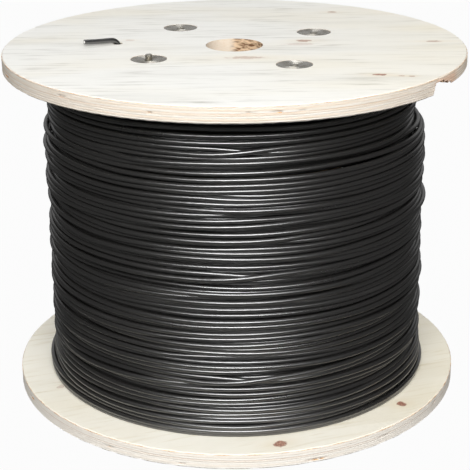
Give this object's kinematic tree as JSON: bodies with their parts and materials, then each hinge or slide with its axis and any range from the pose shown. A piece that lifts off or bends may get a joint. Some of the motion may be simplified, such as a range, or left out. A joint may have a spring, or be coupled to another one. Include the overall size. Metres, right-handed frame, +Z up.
{
  "type": "cable drum",
  "caption": "Plywood cable drum standing on end, wound with black single-core cable: round flanges clamped to a tube barrel by tie rods, centre hole for a spindle.",
  "frame": {"origin": "centre of the lower flange's underside, on the drum's axis", "axes": "+Z up along the drum's axis; -Y towards the side that the picture shows; the cable's tail lies on the -X side of the upper face"},
  "size_m": [0.5, 0.5, 0.3886],
  "materials": {
    "plywood": "bare sanded softwood plywood, knots and ply edges showing",
    "barrel_board": "plain spiral-wound board tube",
    "cable_sheath": "black satin cable sheath, a little dusty",
    "zinc_steel": "zinc-plated steel, turned"
  },
  "bodies": {
    "root": {"bottom_flange": "plywood", "top_flange": "plywood", "barrel_tube": "barrel_board", "cable_winding": "cable_sheath", "cable_tail": "cable_sheath", "tie_rod_1": "zinc_steel", "tie_rod_2": "zinc_steel", "tie_rod_3": "zinc_steel", "tie_rod_4": "zinc_steel", "bottom_plate_nut_1": "zinc_steel", "bottom_plate_nut_2": "zinc_steel", "bottom_plate_nut_3": "zinc_steel", "bottom_plate_nut_4": "zinc_steel", "top_plate_nut_1": "zinc_steel", "top_plate_nut_2": "zinc_steel", "top_plate_nut_3": "zinc_steel", "top_plate_nut_4": "zinc_steel"}
  },
  "joints": []
}
